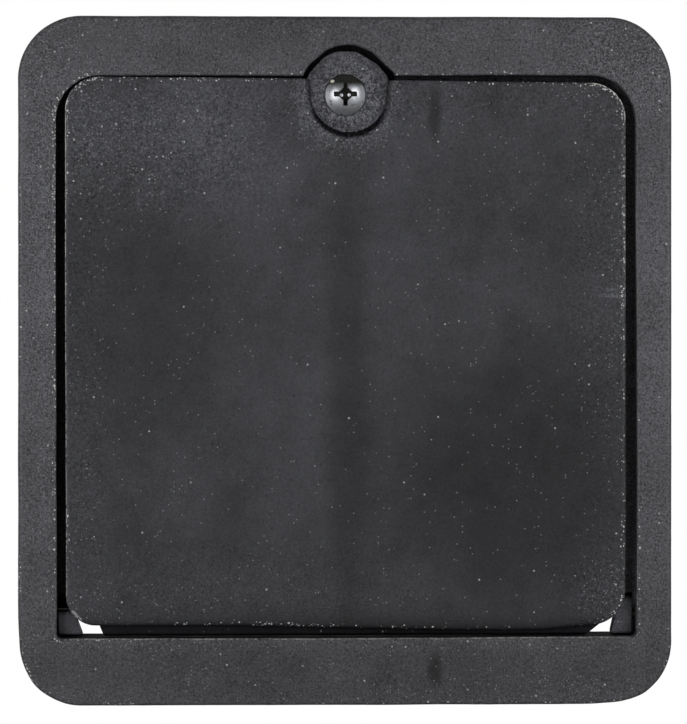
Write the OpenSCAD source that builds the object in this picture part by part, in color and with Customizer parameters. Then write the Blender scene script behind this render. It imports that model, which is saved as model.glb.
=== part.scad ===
// Hinged cast iron flue door: a rebated frame plate with a collar for the flue wall, and a
// door that falls forward on two pins at its foot and is held shut by one screw at its head.
// X runs to the right, Y back into the flue and Z up. The origin is the centre of the frame
// plate's outline, on its back face, which bears against the wall.

/* [Frame plate] */
// Width of the frame plate
frame_w = 228.6; // [222:0.1:260]
// Height of the frame plate
frame_h = 241.3; // [236:0.1:280]
// Thickness of the frame plate
frame_t = 6; // [4.5:0.5:9]
// Radius of the frame plate's corners
frame_corner_r = 22; // [12:1:28]
// Rounding of the frame plate's outer front edge
frame_edge_r = 1.5; // [0.5:0.25:2.5]

/* [Door opening] */
// Width of the opening in the frame plate
opening_w = 203.2; // [150:0.1:208]
// Height of the opening in the frame plate
opening_h = 197.3; // [140:0.1:200]
// Height of the border below the opening
sill_border = 23.4; // [14:0.1:26]
// Radius of the opening's top corners
opening_top_r = 13; // [8:0.5:20]
// Radius of the opening's bottom corners
opening_bottom_r = 1.8; // [0.6:0.2:2]

/* [Collar behind the plate] */
// Thickness of the collar's wall
collar_wall = 5; // [3.5:0.5:6]
// How far the collar reaches behind the frame plate
collar_depth = 15; // [15:1:40]

/* [Ledge that the door shuts against] */
// Width of the ledge at the sides and the top
ledge_w = 7.5; // [6:0.5:12]
// Thickness of the ledge
ledge_t = 5; // [3:0.5:7]
// Thickness of the pad behind each of the door's ears
pad_t = 3; // [2:0.1:3.4]
// How far each pad reaches up past the foot of the ledge
pad_lap = 3; // [1:0.5:10]

/* [Door] */
// How far the door's face lies behind the frame's face
door_inset = 0.7; // [0:0.1:1.5]
// Thickness of the door plate
door_t = 5; // [4:0.5:6]
// Gap between the door and the frame at each side
side_gap = 3.2; // [1.5:0.1:4]
// Gap between the door's top edge and the frame
top_gap = 2; // [1:0.1:4]
// Gap between the door's bottom edge and the sill
bottom_gap = 4.6; // [3.5:0.1:6]
// Radius of the door's corners
door_corner_r = 11; // [6:0.5:14]
// Rounding of the door's front edges at its sides and top
door_edge_r = 1.2; // [0.5:0.1:2]
// Rounding of the door's bottom front edge, which rolls past the sill
door_roll_r = 3.5; // [3:0.1:4]

/* [Hinge] */
// Distance from the door's face back to the hinge axis
hinge_setback = 8.3; // [7.8:0.1:9]
// Diameter of each hinge pin
hinge_pin_d = 4; // [3:0.1:4.6]
// Radial clearance of the pin in the door's ear
pin_running_gap = 0.08; // [0.02:0.01:0.1]
// Radial clearance of the pin in the collar, where it is driven in
pin_drive_gap = 0.02; // [0.01:0.01:0.05]
// How far each pin stops short of the ear's inner face
pin_end_gap = 1.2; // [0.4:0.1:3]

/* [Door foot] */
// Width of the apron below the door plate
apron_w = 169.4; // [100:0.1:172]
// How far the apron's and ears' faces lie behind the door's face
foot_inset = 4.5; // [4:0.1:4.8]
// How far the apron reaches behind the hinge axis
apron_reach = 1.7; // [0.5:0.1:4]
// How far each ear reaches behind the hinge axis
ear_reach = 4.5; // [3.5:0.1:6]
// Width of each ear
ear_w = 6.4; // [5:0.1:8]
// Gap between each ear and the frame's side wall
ear_side_gap = 1.5; // [1:0.1:2]
// How far the rib across the foot reaches below the hinge axis
foot_rib_below = 1.5; // [1:0.1:2]
// How far the rib across the foot reaches above the hinge axis
foot_rib_above = 6.5; // [5:0.1:8]
// How far the rib across the foot reaches behind the hinge axis
foot_rib_reach = 1; // [0.5:0.1:2.5]

/* [Latch] */
// Distance of the latch tab's centre to the right of the frame's middle
boss_x = 1.1; // [-3:0.1:3]
// Distance of the latch tab's centre below the top of the opening
boss_drop = 6.6; // [4:0.1:8]
// Radius of the pocket in the frame round the latch tab
pocket_r = 17.5; // [16.5:0.1:19]
// Depth of the flat across each shoulder of the pocket
shoulder_cut = 1.3; // [0.4:0.1:1.6]
// Slope of the flat across each shoulder of the pocket
shoulder_turn = 48; // [40:1:55]
// Radius of the door's latch tab
tab_r = 14.4; // [12:0.1:15.5]
// Thickness of the latch tab
tab_t = 4.3; // [3:0.1:5]
// Depth of the recess in the door's face round the screw
recess_depth = 3; // [2:0.1:3.6]
// Radius of the recess at the door's face
recess_r = 15.8; // [14:0.1:17]
// Radius of the recess at its floor
recess_floor_r = 13.1; // [10:0.1:13.8]
// Thickness of the lug that the screw goes into
lug_t = 7; // [5:0.5:9]

/* [Latch screw] */
// Diameter of the screw's shank, half way up its thread
screw_d = 7; // [5:0.1:7.2]
// Outer diameter of the screw's thread
thread_d = 7.9; // [7.5:0.1:8.4]
// Length of the screw below its head
screw_len = 12.7; // [9:0.1:14]
// Diameter of the screw's round head
head_d = 14.6; // [11:0.1:15]
// Height of the screw's round head
head_h = 3.8; // [3:0.1:6]
// Span of the cross recess in the head
cross_span = 7.6; // [5:0.1:9]
// Width of the arms of the cross recess
cross_w = 1.7; // [1:0.1:2.2]
// Depth of the cross recess
cross_depth = 2.6; // [2:0.1:3.8]
// Diameter of the clearance hole in the latch tab
tab_hole_d = 8.8; // [8.6:0.1:10]

/* [Fits] */
// Clearance between the shut door and what it seats on
seat_gap = 0.3; // [0.2:0.05:0.5]
// Clearance between the moving foot of the door and the frame
sweep_gap = 0.3; // [0.25:0.05:0.6]
// Clearance under the screw's head
head_gap = 0.05; // [0.02:0.01:0.2]

/* [Hidden] */
$fn = 72;

iron = [0.25, 0.25, 0.265];
iron_door = [0.22, 0.22, 0.24];
pin_steel = [0.42, 0.41, 0.4];
screw_steel = [0.5, 0.51, 0.53];

// Overlap that joins two lumps of one casting
bite = 1;
// How far cutters run past what they cut
past = 2;

// Heights and depths of the frame
frame_face_y = -frame_t;
sill_z = sill_border - frame_h / 2;
head_z = sill_z + opening_h;
pocket_z = head_z - boss_drop;

// The door's plate
door_face_y = frame_face_y + door_inset;
door_back_y = door_face_y + door_t;
door_w = opening_w - 2 * side_gap;
door_low_z = sill_z + bottom_gap;
door_high_z = head_z - top_gap;

// The ledge lies just behind the shut door
ledge_y = door_back_y + seat_gap;

// The latch, from the recess floor back to the lug
tab_y = door_face_y + recess_depth;
lug_y = tab_y + tab_t + seat_gap;

// The open door lies level just above the sill, so the hinge is as high as it is deep
hinge_y = door_face_y + hinge_setback;
hinge_z = sill_z + sweep_gap + hinge_setback;
foot_y = door_face_y + foot_inset;
foot_sweep_r = hinge_setback;
pin_r = hinge_pin_d / 2;

// The side ledges stop above the door's foot, clear of its sweep
rib_top_z = hinge_z + foot_rib_above;
foot_back_r = max(norm([foot_rib_reach, foot_rib_above]), ear_reach);
ledge_end_z = hinge_z + max(foot_rib_above, foot_back_r) + sweep_gap;

// The pads lie behind the ears, clear of their sweep
pad_y = hinge_y + foot_sweep_r + sweep_gap;

// Places across the door's foot
wall_x = opening_w / 2;
ear_out_x = wall_x - ear_side_gap;
ear_in_x = ear_out_x - ear_w;

// A quarter disc that fills one corner, turned in steps of 90 degrees
module quarter(r, turn) {
    rotate(turn) intersection() {
        circle(r);
        square(r);
    }
}

// A rectangle from its low corner to its high corner with a radius for each corner,
// in the order low left, low right, high right, high left
module panel(low, high, r) {
    polygon([
        [low.x + r[0], low.y], [high.x - r[1], low.y],
        [high.x - r[1], low.y + r[1]], [high.x, low.y + r[1]],
        [high.x, high.y - r[2]], [high.x - r[2], high.y - r[2]],
        [high.x - r[2], high.y], [low.x + r[3], high.y],
        [low.x + r[3], high.y - r[3]], [low.x, high.y - r[3]],
        [low.x, low.y + r[0]], [low.x + r[0], low.y + r[0]]
    ]);
    translate([low.x + r[0], low.y + r[0]]) quarter(r[0], 180);
    translate([high.x - r[1], low.y + r[1]]) quarter(r[1], 270);
    translate([high.x - r[2], high.y - r[2]]) quarter(r[2], 0);
    translate([low.x + r[3], high.y - r[3]]) quarter(r[3], 90);
}

// Takes an outline drawn in X and Z and fills it from one depth to another
module slab(from_y, to_y) {
    translate([0, to_y, 0])
        rotate([90, 0, 0])
            linear_extrude(to_y - from_y)
                children();
}

// Takes a section drawn in Y and Z and runs it along X
module run(from_x, to_x) {
    translate([from_x, 0, 0])
        rotate([90, 0, 90])
            linear_extrude(to_x - from_x)
                children();
}

// A round bar or bore along Y
module bar_y(r, from_y, to_y) {
    translate([0, to_y, 0]) rotate([90, 0, 0]) cylinder(r = r, h = to_y - from_y);
}

// A round bar or bore along X
module bar_x(r, from_x, to_x) {
    translate([from_x, 0, 0]) rotate([0, 90, 0]) cylinder(r = r, h = to_x - from_x);
}

// The section of a plate's rim, with its front outer edge rounded
module rim_section(r, t, edge_r) {
    square([r - edge_r, t]);
    translate([r - edge_r, 0]) square([edge_r, t - edge_r]);
    translate([r - edge_r, t - edge_r]) quarter(edge_r, 0);
}

// A plate with round corners and a rounded front edge, its back at Y = 0
module soft_plate(w, h, t, corner_r, edge_r) {
    middle = [w - 2 * corner_r, h - 2 * corner_r];
    rotate([90, 0, 0]) {
        translate([-middle.x / 2, -middle.y / 2, 0]) cube([middle.x, middle.y, t]);
        for (turn = [0, 180])
            rotate(turn)
                translate([middle.x / 2, 0, 0])
                    rotate([90, 0, 0])
                        linear_extrude(middle.y, center = true)
                            rim_section(corner_r, t, edge_r);
        for (turn = [90, 270])
            rotate(turn)
                translate([middle.y / 2, 0, 0])
                    rotate([90, 0, 0])
                        linear_extrude(middle.x, center = true)
                            rim_section(corner_r, t, edge_r);
        for (side = [0, 1], end = [0, 1])
            mirror([side, 0, 0])
                mirror([0, end, 0])
                    translate([middle.x / 2, middle.y / 2, 0])
                        rotate_extrude(angle = 90)
                            rim_section(corner_r, t, edge_r);
    }
}

// The frame's opening, grown on all sides
module opening_outline(grow) {
    panel([-wall_x - grow, sill_z - grow], [wall_x + grow, head_z + grow],
        [opening_bottom_r + grow, opening_bottom_r + grow, opening_top_r + grow, opening_top_r + grow]);
}

// The round pocket for the latch tab, with a flat across each shoulder
module pocket_outline() {
    translate([boss_x, pocket_z])
        difference() {
            circle(pocket_r);
            for (side = [0, 1])
                mirror([side, 0])
                    rotate(90 - shoulder_turn)
                        translate([pocket_r - shoulder_cut, -pocket_r])
                            square([past, 2 * pocket_r]);
        }
}

// The round bulge of the casting about the pocket
module bulge_outline(wall) {
    translate([boss_x, pocket_z]) circle(pocket_r + wall);
}

// The ledge's outline: the opening's border, open at the foot
module ledge_outline() {
    inner_r = max(opening_top_r - ledge_w, bite);
    difference() {
        opening_outline(bite);
        panel([ledge_w - wall_x, sill_z - past], [wall_x - ledge_w, head_z - ledge_w],
            [bite, bite, inner_r, inner_r]);
        translate([-wall_x - past, sill_z - past]) square([2 * (wall_x + past), ledge_end_z - sill_z + past]);
    }
}

// The outline of the pads behind the ears, in the opening's bottom corners
module pad_outline() {
    intersection() {
        opening_outline(bite);
        for (side = [0, 1])
            mirror([side, 0])
                translate([wall_x - ledge_w, sill_z - past])
                    square([ledge_w + past, ledge_end_z + pad_lap - sill_z + past]);
    }
}

// The two holes through the collar's side walls for the hinge pins
module pin_bores() {
    for (side = [0, 1])
        mirror([side, 0, 0])
            translate([0, hinge_y, hinge_z])
                bar_x(pin_r + pin_drive_gap, wall_x - past, wall_x + collar_wall + past);
}

// The frame is one casting: plate, collar, ledge and latch lug
module frame() {
    color(iron)
    difference() {
        union() {
            difference() {
                union() {
                    soft_plate(frame_w, frame_h, frame_t, frame_corner_r, frame_edge_r);
                    slab(-bite, collar_depth) opening_outline(collar_wall);
                    slab(-bite, collar_depth) bulge_outline(collar_wall);
                }
                slab(frame_face_y - past, collar_depth + past) opening_outline(0);
                slab(frame_face_y - past, collar_depth + past) pocket_outline();
            }
            difference() {
                slab(ledge_y, ledge_y + ledge_t) ledge_outline();
                slab(ledge_y - past, lug_y) pocket_outline();
            }
            slab(lug_y, lug_y + lug_t) bulge_outline(bite);
            slab(pad_y, pad_y + pad_t) pad_outline();
        }
        translate([0, 0, pocket_z]) bar_y(thread_d / 2, lug_y - past, lug_y + lug_t + past);
        pin_bores();
    }
}

// The part of the foot's section that turns inside the arc about the hinge
module foot_section(reach) {
    translate([hinge_y, hinge_z]) {
        intersection() {
            circle(foot_sweep_r);
            translate([foot_y - hinge_y, -foot_sweep_r - past])
                square([hinge_y - foot_y + reach, foot_sweep_r + past]);
        }
        translate([foot_y - hinge_y, -foot_rib_below])
            square([hinge_y - foot_y + foot_rib_reach, foot_rib_below + foot_rib_above]);
    }
}

// The rib across the back of the foot, which joins the apron and the ears
module foot_rib_section() {
    translate([foot_y, hinge_z - foot_rib_below])
        square([hinge_y - foot_y + foot_rib_reach, foot_rib_below + foot_rib_above]);
}

// The door plate, with its front edges rounded and a bigger roll at its foot
module door_plate() {
    intersection() {
        slab(door_face_y, door_back_y)
            panel([-door_w / 2, door_low_z], [door_w / 2, door_high_z],
                [door_corner_r, door_corner_r, door_corner_r, door_corner_r]);
        run(-door_w / 2 - past, door_w / 2 + past)
            panel([door_face_y, door_low_z], [door_back_y + past, door_high_z],
                [door_roll_r, bite, bite, door_edge_r]);
        translate([0, 0, door_low_z - past])
            linear_extrude(door_high_z - door_low_z + 2 * past)
                panel([-door_w / 2, door_face_y], [door_w / 2, door_back_y + past],
                    [door_edge_r, door_edge_r, bite, bite]);
    }
}

// The door is one casting: plate, latch tab, apron, ears and the rib between them
module door() {
    color(iron_door)
    difference() {
        union() {
            difference() {
                door_plate();
                translate([boss_x, door_face_y, pocket_z])
                    rotate([-90, 0, 0])
                        cylinder(r1 = recess_r, r2 = recess_floor_r, h = recess_depth);
            }
            translate([boss_x, 0, pocket_z]) bar_y(tab_r, tab_y, tab_y + tab_t);
            run(-apron_w / 2, apron_w / 2) foot_section(apron_reach);
            run(-ear_out_x, ear_out_x) foot_rib_section();
            for (side = [0, 1])
                mirror([side, 0, 0])
                    run(ear_in_x, ear_out_x) foot_section(ear_reach);
        }
        translate([0, 0, pocket_z]) bar_y(tab_hole_d / 2, tab_y - past, tab_y + tab_t + past);
        for (side = [0, 1])
            mirror([side, 0, 0])
                translate([0, hinge_y, hinge_z])
                    bar_x(pin_r + pin_running_gap, ear_in_x - past, ear_out_x + past);
    }
}

// One hinge pin, driven in through the collar's right wall until it is flush
module hinge_pin() {
    translate([0, hinge_y, hinge_z])
        bar_x(pin_r, ear_in_x + pin_end_gap, wall_x + collar_wall);
}

module hinge_pin_right() {
    color(pin_steel) hinge_pin();
}

module hinge_pin_left() {
    color(pin_steel) mirror([1, 0, 0]) hinge_pin();
}

// The screw's domed head with its cross recess, its flat side at Z = 0
module screw_head() {
    dome_r = (pow(head_d / 2, 2) + pow(head_h, 2)) / (2 * head_h);
    difference() {
        intersection() {
            translate([0, 0, head_h - dome_r]) sphere(dome_r);
            cylinder(r = head_d, h = head_h + past);
        }
        intersection() {
            translate([0, 0, head_h - cross_depth])
                cylinder(r1 = cross_w / 2, r2 = cross_span / 2, h = cross_depth);
            union() {
                cube([cross_span * 2, cross_w, head_h * 4], center = true);
                cube([cross_w, cross_span * 2, head_h * 4], center = true);
            }
        }
    }
}

// The round-head screw that holds the door shut
module latch_screw() {
    tip_h = (thread_d - screw_d) / 2 + bite;
    color(screw_steel)
    translate([0, tab_y - head_gap, pocket_z])
        rotate([90, 0, 0]) {
            screw_head();
            translate([0, 0, -screw_len + tip_h]) cylinder(d = screw_d, h = screw_len - tip_h + bite);
            translate([0, 0, -screw_len]) cylinder(d1 = screw_d - 2 * tip_h, d2 = screw_d, h = tip_h);
        }
}

frame();
door();
hinge_pin_left();
hinge_pin_right();
latch_screw();
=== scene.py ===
import math

import bmesh
import bpy
import numpy as np
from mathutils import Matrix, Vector, noise
from mathutils.geometry import delaunay_2d_cdt


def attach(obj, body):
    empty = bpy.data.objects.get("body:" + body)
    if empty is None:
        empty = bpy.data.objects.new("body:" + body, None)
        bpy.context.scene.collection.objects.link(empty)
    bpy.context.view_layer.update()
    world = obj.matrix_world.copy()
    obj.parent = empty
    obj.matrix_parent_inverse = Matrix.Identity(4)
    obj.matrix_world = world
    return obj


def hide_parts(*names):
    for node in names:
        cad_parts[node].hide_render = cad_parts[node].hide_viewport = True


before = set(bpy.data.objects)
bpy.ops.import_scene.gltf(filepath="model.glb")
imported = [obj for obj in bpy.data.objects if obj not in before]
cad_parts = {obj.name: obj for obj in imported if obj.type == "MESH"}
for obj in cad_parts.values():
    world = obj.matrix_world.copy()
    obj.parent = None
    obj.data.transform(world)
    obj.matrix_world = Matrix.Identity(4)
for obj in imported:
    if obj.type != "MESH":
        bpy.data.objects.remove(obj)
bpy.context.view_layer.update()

MM = 0.001

# Sizes in millimetres; depths are Y, and the back of the frame's plate is Y = 0
FACE_Y = -5.88             # face of the frame's plate
COLLAR_Y = 15.0            # end of the collar
COLLAR_WALL = 5
LEDGE_Y = 5.0              # back of the ledge
LUG_Y = (2.3, 9.3)
PAD_Y = (11.6, 14.6)
DOOR_Y = (-5.3, -0.3)      # face and back of the door's plate
TAB_Y = (-2.3, 2.0)        # floor of the recess and back of the tab
RECESS_DEPTH = 3.0
RECESS_WALL = 2.9          # width of the recess's sloped wall
FACE_LIMIT = 2.9           # how far back the door's face may lie outside the recess
HINGE = (3.0, -88.65)      # Y and Z
BOSS = (1.1, 92.7)         # X and Z of the latch
SWEEP_R = 7.7              # the door's foot round the hinge
FRAME_BORE_R, DOOR_BORE_R = 2.04, 2.1
SCREW_Z = 92.75
HEAD_X = -0.16             # the screw's head is a little off its shank
CROSS_UP = 0.25            # and the cross a little above the head's centre
DIAGONAL = 0.7071


# Outlines in X and Z
class Box:
    """A rectangle with a radius for each corner: low left, low right, high right, high left."""

    def __init__(self, x0, x1, z0, z1, radii):
        self.b, self.r = (x0, x1, z0, z1), radii

    def far(self, x, z):
        x0, x1, z0, z1 = self.b
        bl, br, tr, tl = self.r
        px, pz = x - (x0 + x1) / 2, z - (z0 + z1) / 2
        r = np.where(px > 0, np.where(pz > 0, tr, br), np.where(pz > 0, tl, bl))
        qx, qz = np.abs(px) - (x1 - x0) / 2 + r, np.abs(pz) - (z1 - z0) / 2 + r
        return np.minimum(np.maximum(qx, qz), 0) + np.hypot(np.maximum(qx, 0), np.maximum(qz, 0)) - r

    def loop(self, grow, step):
        x0, x1, z0, z1 = self.b
        out = []
        ends = ((x0, z0, 180), (x1, z0, 270), (x1, z1, 0), (x0, z1, 90))
        for (x, z, turn), r in zip(ends, self.r):
            cx = x + r if x == x0 else x - r
            cz = z + r if z == z0 else z - r
            rad = max(r + grow, 0.02)
            n = max(3, int(rad * math.pi / 2 / (step * 0.7)) + 1)
            out += [(cx + rad * math.cos(math.radians(turn + 90 * i / n)),
                     cz + rad * math.sin(math.radians(turn + 90 * i / n))) for i in range(n + 1)]
        return fill(out, step)


class Disc:
    def __init__(self, x, z, r):
        self.c, self.r = (x, z), r

    def far(self, x, z):
        return np.hypot(x - self.c[0], z - self.c[1]) - self.r

    def loop(self, grow, step):
        r = self.r + grow
        n = max(20, int(2 * math.pi * r / step))
        return [(self.c[0] + r * math.cos(2 * math.pi * i / n), self.c[1] + r * math.sin(2 * math.pi * i / n))
                for i in range(n)]


class Notch(Disc):
    """A disc with straight cuts; a cut is its way out in X and Z and its distance from the centre."""

    def __init__(self, x, z, r, cuts):
        super().__init__(x, z, r)
        self.cuts = cuts

    def far(self, x, z):
        d = super().far(x, z)
        for nx, nz, reach in self.cuts:
            d = np.maximum(d, (x - self.c[0]) * nx + (z - self.c[1]) * nz - reach)
        return d

    def loop(self, grow, step):
        r, out = self.r + grow, []
        n = int(2 * math.pi * r / step)
        for i in range(n):
            ux, uz = math.cos(2 * math.pi * i / n), math.sin(2 * math.pi * i / n)
            t = r
            for nx, nz, reach in self.cuts:
                along = ux * nx + uz * nz
                if along > 1e-6:
                    t = min(t, (reach + grow) / along)
            out.append((self.c[0] + ux * t, self.c[1] + uz * t))
        return out


def fill(points, step):
    """A closed line with its long stretches broken up."""
    out = []
    for (ax, az), (bx, bz) in zip(points, points[1:] + points[:1]):
        n = max(1, round(math.hypot(bx - ax, bz - az) / step))
        out += [(ax + (bx - ax) * i / n, az + (bz - az) * i / n) for i in range(n)]
    return out


def rounding(d, r, h=None):
    """How far a rounded edge of radius r lies below the face, at d in from the edge."""
    t = np.clip(1 - d / r, 0, 1)
    return (h or r) * (1 - np.sqrt(1 - t * t))


def smooth(a, b, v):
    t = np.clip((v - a) / (b - a), 0, 1)
    return t * t * (3 - 2 * t)


def rough(x, z, size, seed):
    """Smooth noise from -1 to 1 over X and Z."""
    return np.array([noise.noise(Vector((a / size, b / size, seed))) for a, b in zip(x, z)])


# Castings
def place(name, data):
    """A new object in the scene."""
    made = bpy.data.objects.new(name, data)
    bpy.context.scene.collection.objects.link(made)
    return made


def mend(mesh, weld=None, thin=None):
    """Joins points nearer than weld, takes out what is thinner than thin and turns the faces outwards."""
    bm = bmesh.new()
    bm.from_mesh(mesh)
    if weld:
        bmesh.ops.remove_doubles(bm, verts=bm.verts, dist=weld)
    if thin:
        bmesh.ops.dissolve_degenerate(bm, edges=bm.edges, dist=thin)
    bmesh.ops.recalc_face_normals(bm, faces=bm.faces)
    bm.to_mesh(mesh)
    bm.free()


def casting(name, lines, step, grid, levels, slabs, shift, warp, draft=None):
    """A closed mesh of slabs that lie on each other along Y.

    lines are (shape, growths) that the mesh has to follow, levels the depths between slabs, slabs a
    test of X and Z for each, shift moves a level's points along Y to round and roughen it, and draft
    is how far up the points at the collar's end lie."""
    points, edges = [], []
    for shape, grows in lines:
        for g in grows:
            loop, first = shape.loop(g, step), len(points)
            points += loop
            edges += [(first + i, first + (i + 1) % len(loop)) for i in range(len(loop))]
    low, high = np.min(points, 0) - grid, np.max(points, 0) + grid
    gx, gz = np.meshgrid(np.arange(low[0], high[0], grid), np.arange(low[1], high[1], grid * 0.87))
    gx[1::2] += grid / 2
    gx, gz = gx.ravel(), gz.ravel()
    keep = np.ones(len(gx), bool)
    for shape, grows in lines:
        d = shape.far(gx, gz)
        for g in grows:
            keep &= np.abs(d - g) > grid * 0.42
    points += list(zip(gx[keep], gz[keep]))
    flat, _, tris, *_ = delaunay_2d_cdt([Vector(p) for p in points], edges, [], 0, 1e-4)
    x, z = np.array([v.x for v in flat]), np.array([v.y for v in flat])
    tris = np.array(tris)
    mx, mz = x[tris].mean(1), z[tris].mean(1)
    solid = [np.asarray(test(mx, mz)) for test in slabs]
    y = [lev + shift(k, x, z) for k, lev in enumerate(levels)]
    wx, wz = warp(x, z)
    drop = draft(x, z) if draft else 0 * x
    used, verts, faces = {}, [], []

    def vert(k, i):
        if (k, i) not in used:
            used[k, i] = len(verts)
            verts.append((wx[i] * MM, y[k][i] * MM, (wz[i] + drop[i] * max(levels[k], 0) / COLLAR_Y) * MM))
        return used[k, i]

    empty = np.zeros(len(tris), bool)
    for k in range(len(levels)):
        before = solid[k - 1] if k else empty
        after = solid[k] if k < len(slabs) else empty
        for t in np.nonzero(after & ~before)[0]:
            faces.append([vert(k, i) for i in tris[t]])
        for t in np.nonzero(before & ~after)[0]:
            faces.append([vert(k, i) for i in tris[t][::-1]])
        if k < len(slabs):
            sides = {}
            for t in np.nonzero(after)[0]:
                a, b, c = tris[t]
                for e in ((a, b), (b, c), (c, a)):
                    sides[e] = True
            for a, b in sides:
                if (b, a) not in sides:
                    faces.append([vert(k, b), vert(k, a), vert(k + 1, a), vert(k + 1, b)])
    mesh = bpy.data.meshes.new(name)
    mesh.from_pydata(verts, [], faces)
    mend(mesh, 2e-6, 1e-7)
    return place(name, mesh)


def solid_of(name, verts, faces):
    """A piece from points in millimetres."""
    mesh = bpy.data.meshes.new(name)
    mesh.from_pydata([Vector(v) * MM for v in verts], [], faces)
    mend(mesh)
    return place(name, mesh)


def run_x(name, section, places, round_by=0.0):
    """A section of (Y, Z) points that runs along X, through places of (x at the top, x at the foot)."""
    n = len(section)
    z_low, z_high = min(p[1] for p in section), max(p[1] for p in section)
    verts = []
    for top, foot in places:
        for py, pz in section:
            t = (pz - z_low) / (z_high - z_low)
            verts.append((foot + (top - foot) * t, py, pz))
    faces = [[k * n + i, k * n + (i + 1) % n, (k + 1) * n + (i + 1) % n, (k + 1) * n + i]
             for k in range(len(places) - 1) for i in range(n)]
    faces += [list(range(n))[::-1], [(len(places) - 1) * n + i for i in range(n)]]
    piece = solid_of(name, verts, faces)
    if round_by:
        m = piece.modifiers.new("round", "BEVEL")
        m.width, m.segments, m.limit_method, m.angle_limit = round_by * MM, 2, "ANGLE", math.radians(38)
        settle(piece)
    return piece


def settle(piece):
    """Makes a piece's modifiers part of its mesh."""
    dg = bpy.context.evaluated_depsgraph_get()
    dg.update()
    mesh = bpy.data.meshes.new_from_object(piece.evaluated_get(dg))
    piece.modifiers.clear()
    piece.data = mesh


def combine(piece, other, how):
    """Joins another piece to a piece or cuts it away, and removes the other one."""
    m = piece.modifiers.new("cut", "BOOLEAN")
    m.operation, m.object, m.solver = how, other, "MANIFOLD"
    settle(piece)
    bpy.data.objects.remove(other)


def shade(piece, angle):
    """Smooth shading, sharp where faces meet at more than the angle."""
    bm = bmesh.new()
    bm.from_mesh(piece.data)
    bmesh.ops.triangulate(bm, faces=[f for f in bm.faces if len(f.verts) > 4])
    for f in bm.faces:
        f.smooth = True
    for e in bm.edges:
        e.smooth = len(e.link_faces) == 2 and e.calc_face_angle(0) < math.radians(angle)
    bm.to_mesh(piece.data)
    bm.free()


def mark_edges(piece, far, warp, depth, name="edge"):
    """Keeps how far each point in front of a depth lies from an outline, in millimetres."""
    co = np.array([v.co for v in piece.data.vertices]) / MM
    x, z = co[:, 0], co[:, 2]
    wx, wz = warp(x, z)
    d = np.abs(far(2 * x - wx, 2 * z - wz))
    d = np.where(co[:, 1] < depth, np.minimum(d, 30), 30)
    piece.data.attributes.new(name, "FLOAT", "POINT").data.foreach_set("value", d.astype(np.float32))


def bar_x(name, r, x0, x1):
    """A round bar on the hinge's axis."""
    turns = [2 * math.pi * i / 40 for i in range(40)]
    ring = [(math.cos(t) * r + HINGE[0], math.sin(t) * r + HINGE[1]) for t in turns]
    return run_x(name, ring, [(x0, x0), (x1, x1)])


# Frame
outer = Box(-114.12, 114.12, -120.2, 120.13, (22, 22, 22.3, 22))
opening = Box(-101.1, 101.5, -96.85, 99.4, (1.8, 1.8, 15.8, 15.6))
notch = Notch(*BOSS, 17.5, ((-0.643, 0.766, 17.1), (0.682, 0.731, 16.45), (0.407, 0.914, 16.95)))
bulge = Disc(*BOSS, 22.5)
ledge_in = Box(-94.1, 94.1, -140, 92.55, (1, 1, 5.5, 5.5))
ledge_foot = Box(-103, 103, -140, -81.35, (1, 1, 0.5, 0.5))
pad_top = Box(-103, 103, -140, -78.35, (1, 1, 0.5, 0.5))
pad_in = Box(-94.1, 97.2, -140, 92.55, (1, 1, 5.5, 5.5))
thread_hole = Disc(0, SCREW_Z, 3.97)


def in_opening(x, z):
    return np.minimum(opening.far(x, z), notch.far(x, z))


def past_collar(x, z):
    return np.minimum(opening.far(x, z) - COLLAR_WALL, bulge.far(x, z))


def is_collar(x, z):
    return (in_opening(x, z) > 0) & (past_collar(x, z) < 0)


def is_ledge(x, z):
    return (in_opening(x, z) < 0) & (ledge_in.far(x, z) > 0) & (ledge_foot.far(x, z) > 0)


def is_lug(x, z):
    return (notch.far(x, z) < 0) & (thread_hole.far(x, z) > 0)


def is_pad(x, z):
    return (in_opening(x, z) < 0) & (pad_in.far(x, z) > 0) & (pad_top.far(x, z) < 0)


FRAME_LEVELS = [FACE_Y, 0, LUG_Y[0], LEDGE_Y, LUG_Y[1], *PAD_Y, COLLAR_Y]


def frame_shift(k, x, z):
    """The frame's swells and rounded edges, level by level from the face back."""
    swell = 0.16 * rough(x, z, 34, 3.1) + 0.07 * rough(x, z, 9, 7.7) + 0.035 * rough(x, z, 3.2, 1.3)
    if k == 0:
        into = in_opening(x, z)
        left = smooth(-40, -95, x)
        edge_r = 0.75 + 0.9 * left + 0.25 * rough(x, z, 14, 5.5)
        return np.maximum(swell, -0.16) + rounding(-outer.far(x, z), 1.6) + rounding(into, edge_r, 0.9)
    if k == 1:
        return swell * 0.6 - rounding(-outer.far(x, z), 0.6)
    if k == len(FRAME_LEVELS) - 1:
        rim = np.minimum(in_opening(x, z), -past_collar(x, z))
        return np.minimum(swell * 0.5 - 0.12 - rounding(rim, 0.9), 0)
    return swell * 0.5


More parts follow.
